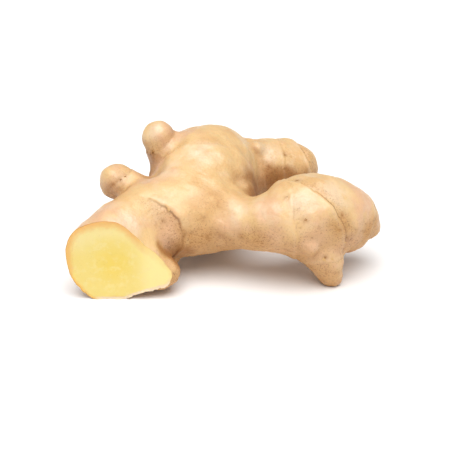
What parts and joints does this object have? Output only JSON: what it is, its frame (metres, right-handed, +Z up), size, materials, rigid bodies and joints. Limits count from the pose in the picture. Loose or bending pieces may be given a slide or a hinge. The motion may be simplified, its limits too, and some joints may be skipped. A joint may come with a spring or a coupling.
{
  "type": "ginger root",
  "caption": "Fresh ginger rhizome with fat ringed fingers, small nubs and a flat cut end, lying on a surface.",
  "frame": {"origin": "middle of the footprint, on the surface that the root lies on", "axes": "+X along the root towards the tip of the front finger, +Z up, the cut face looks towards -Y"},
  "size_m": [0.1368, 0.0936, 0.0598],
  "materials": {
    "ginger": "satin"
  },
  "bodies": {
    "root": {"rhizome": "ginger"}
  },
  "joints": []
}
